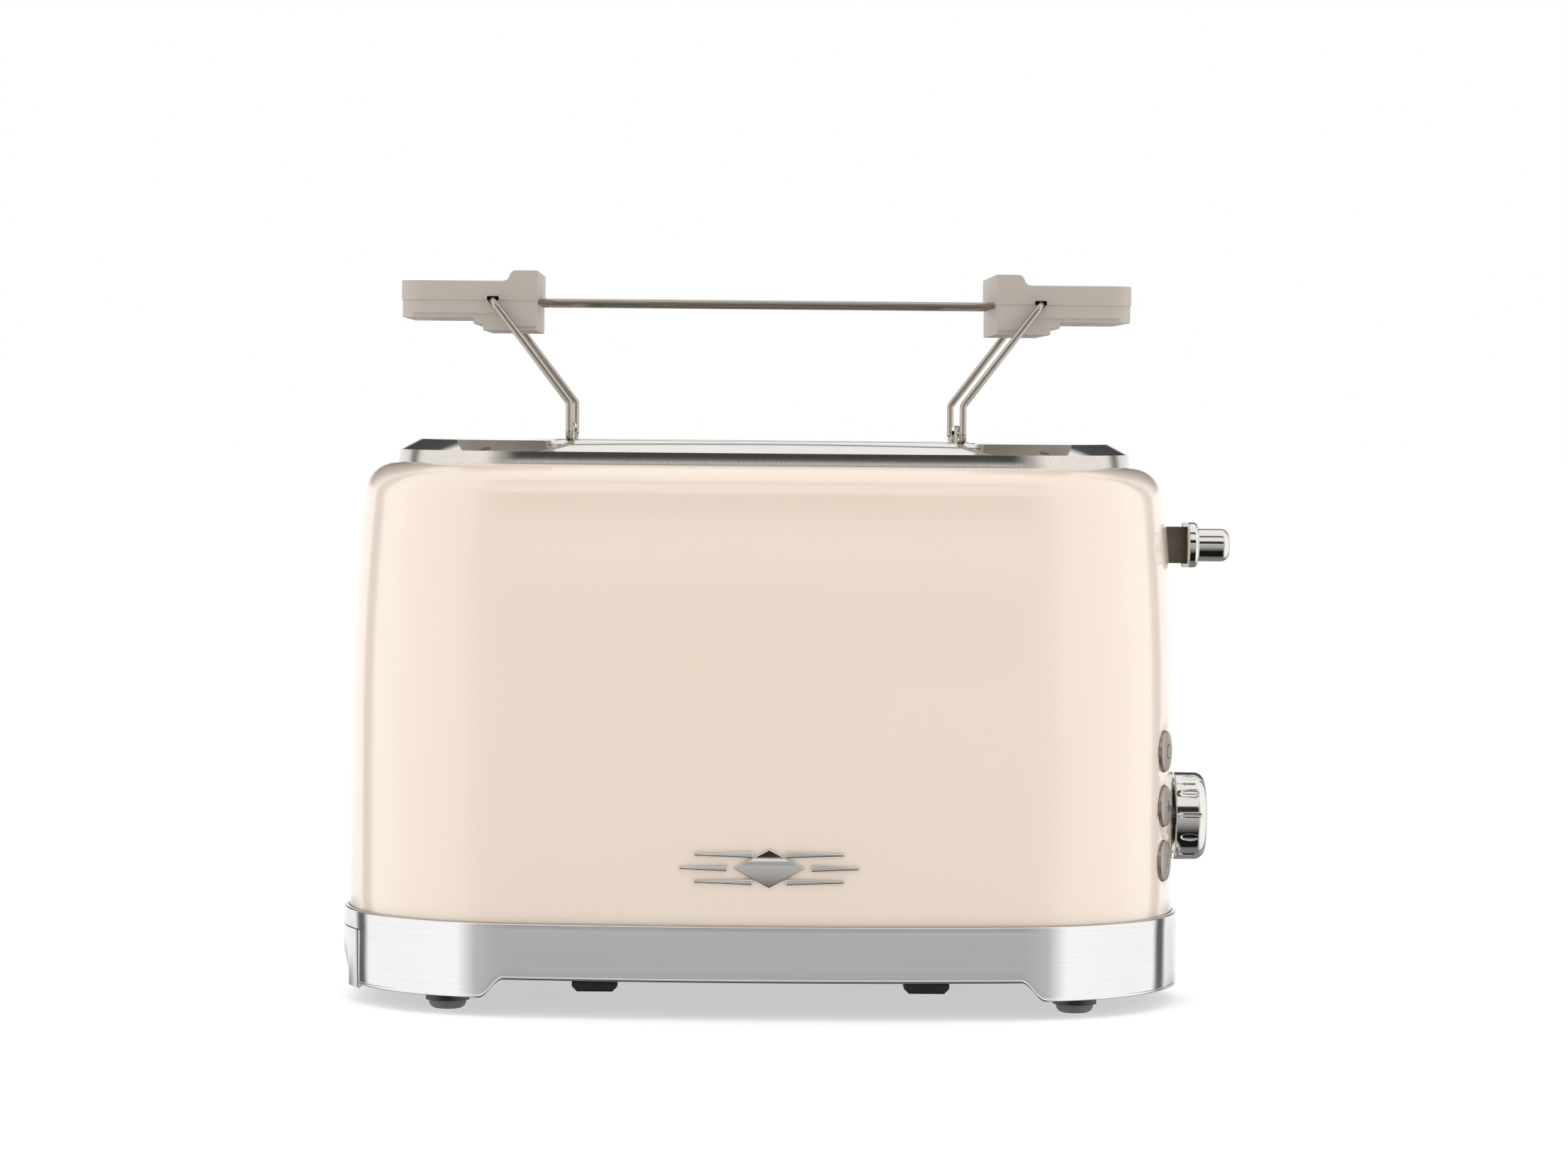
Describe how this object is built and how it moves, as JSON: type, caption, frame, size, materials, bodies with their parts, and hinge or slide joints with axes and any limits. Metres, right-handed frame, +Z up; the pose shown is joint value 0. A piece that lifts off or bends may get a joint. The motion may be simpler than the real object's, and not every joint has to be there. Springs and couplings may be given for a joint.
{
  "type": "pop-up toaster",
  "caption": "two-slot pop-up toaster with a rounded enamelled steel shell, a chromed skirt, a lift lever, a browning dial, push buttons and a lift-off bun warmer",
  "frame": {"origin": "point of the standing plane under the middle of the housing", "axes": "+X towards the end that carries the controls, -Y the front, +Z up"},
  "size_m": [0.2973, 0.1716, 0.2422],
  "materials": {
    "cream_enamel": "gloss enamel on pressed steel",
    "chrome": "polished chrome plate",
    "brushed_trim": "brushed stainless steel with a polished slope",
    "black_plastic": "black moulding",
    "lug_plastic": "light grey moulding",
    "foot_rubber": "dark grey rubber",
    "galvanised_steel": "galvanised sheet steel",
    "bright_sheet": "bright aluminised sheet",
    "tray_sheet": "folded steel sheet",
    "mica": "pressed mica board",
    "heating_ribbon": "oxidised resistance ribbon",
    "steel_wire": "bright nickel-plated steel wire",
    "lever_steel": "dark steel strip",
    "white_plastic": "natural nylon",
    "iron": "soft iron",
    "coil_winding": "enamelled copper winding under tape",
    "circuit_board": "glass-fibre circuit board",
    "black_switch": "black switch body",
    "shaft_metal": "turned shaft",
    "satin_nickel": "satin nickel cap",
    "grip_plastic": "warm grey moulded grip",
    "screw_steel": "zinc-plated screw"
  },
  "bodies": {
    "housing": {"base_plate": "black_plastic", "base_skirt": "chrome", "button_board": "circuit_board", "button_guide": "white_plastic", "button_switches": "black_switch", "chassis_screws": "screw_steel", "control_board": "circuit_board", "cord_inlet_bush": "black_plastic", "end_plate_left": "galvanised_steel", "end_plate_right": "galvanised_steel", "foot_front_left": "foot_rubber", "foot_front_right": "foot_rubber", "foot_rear_left": "foot_rubber", "foot_rear_right": "foot_rubber", "guide_rod": "steel_wire", "heating_ribbon_center": "heating_ribbon", "heating_ribbon_front": "heating_ribbon", "heating_ribbon_rear": "heating_ribbon", "magnet_coil": "coil_winding", "magnet_core": "iron", "mica_board_center": "mica", "mica_board_front": "mica", "mica_board_rear": "mica", "outer_shell": "cream_enamel", "potentiometer": "black_switch", "reflector_front": "bright_sheet", "reflector_rear": "bright_sheet", "return_spring": "steel_wire", "top_panel": "brushed_trim"},
    "lift": {"lift_bracket": "galvanised_steel", "bread_rack_front": "galvanised_steel", "bread_rack_rear": "galvanised_steel", "latch_keeper": "iron", "slide_bush": "white_plastic", "lever_arm": "lever_steel", "lever_core": "lug_plastic", "lever_knob": "chrome"},
    "grid_front_outer": {"guard_grid_front_outer": "steel_wire"},
    "grid_front_inner": {"guard_grid_front_inner": "steel_wire"},
    "grid_rear_inner": {"guard_grid_rear_inner": "steel_wire"},
    "grid_rear_outer": {"guard_grid_rear_outer": "steel_wire"},
    "dial": {"dial_knob": "chrome", "dial_shaft": "shaft_metal"},
    "button_bottom": {"button_bottom": "satin_nickel"},
    "button_middle": {"button_middle": "satin_nickel"},
    "button_top": {"button_top": "satin_nickel"},
    "tray": {"crumb_tray": "tray_sheet", "tray_front": "chrome"},
    "warmer": {"warmer_grip_left_upper": "grip_plastic", "warmer_grip_left_lower": "grip_plastic", "warmer_grip_right_upper": "grip_plastic", "warmer_grip_right_lower": "grip_plastic", "warmer_rods": "steel_wire", "warmer_leg_left": "steel_wire", "warmer_leg_right": "steel_wire", "warmer_screws": "screw_steel"}
  },
  "joints": [
    {"name": "lift_slide", "type": "slide", "parent": "housing", "child": "lift", "axis": [0, 0, -1], "range_m": [0, 0.056], "stiffness_N_per_m": 40, "springref_m": -0.08, "deforming": ["return_spring"]},
    {"name": "grid_front_outer_slide", "type": "slide", "parent": "housing", "child": "grid_front_outer", "axis": [0, 1, 0], "range_m": [0, 0.007]},
    {"name": "grid_front_inner_slide", "type": "slide", "parent": "housing", "child": "grid_front_inner", "axis": [0, -1, 0], "range_m": [0, 0.007]},
    {"name": "grid_rear_inner_slide", "type": "slide", "parent": "housing", "child": "grid_rear_inner", "axis": [0, 1, 0], "range_m": [0, 0.007]},
    {"name": "grid_rear_outer_slide", "type": "slide", "parent": "housing", "child": "grid_rear_outer", "axis": [0, -1, 0], "range_m": [0, 0.007]},
    {"name": "dial_turn", "type": "hinge", "parent": "housing", "child": "dial", "pos_m": [0.139, 0, 0.0614], "axis": [1, 0, 0], "range_deg": [-225, 45]},
    {"name": "button_bottom_press", "type": "slide", "parent": "housing", "child": "button_bottom", "axis": [-0.9483, 0.3173, 0], "range_m": [0, 0.0012], "stiffness_N_per_m": 400, "springref_m": -0.0005},
    {"name": "button_middle_press", "type": "slide", "parent": "housing", "child": "button_middle", "axis": [-0.9483, 0.3173, 0], "range_m": [0, 0.0012], "stiffness_N_per_m": 400, "springref_m": -0.0005},
    {"name": "button_top_press", "type": "slide", "parent": "housing", "child": "button_top", "axis": [-0.9483, 0.3173, 0], "range_m": [0, 0.0012], "stiffness_N_per_m": 400, "springref_m": -0.0005},
    {"name": "tray_slide", "type": "slide", "parent": "housing", "child": "tray", "axis": [-1, 0, 0], "range_m": [0, 0.22]},
    {"name": "warmer_lift", "type": "slide", "parent": "housing", "child": "warmer", "axis": [0, 0, 1], "range_m": [0, 0.08]}
  ],
  "couplings": [
    {"joint": "grid_front_outer_slide", "follows": "lift_slide", "ratio": 0.125},
    {"joint": "grid_front_inner_slide", "follows": "lift_slide", "ratio": 0.125},
    {"joint": "grid_rear_inner_slide", "follows": "lift_slide", "ratio": 0.125},
    {"joint": "grid_rear_outer_slide", "follows": "lift_slide", "ratio": 0.125}
  ]
}
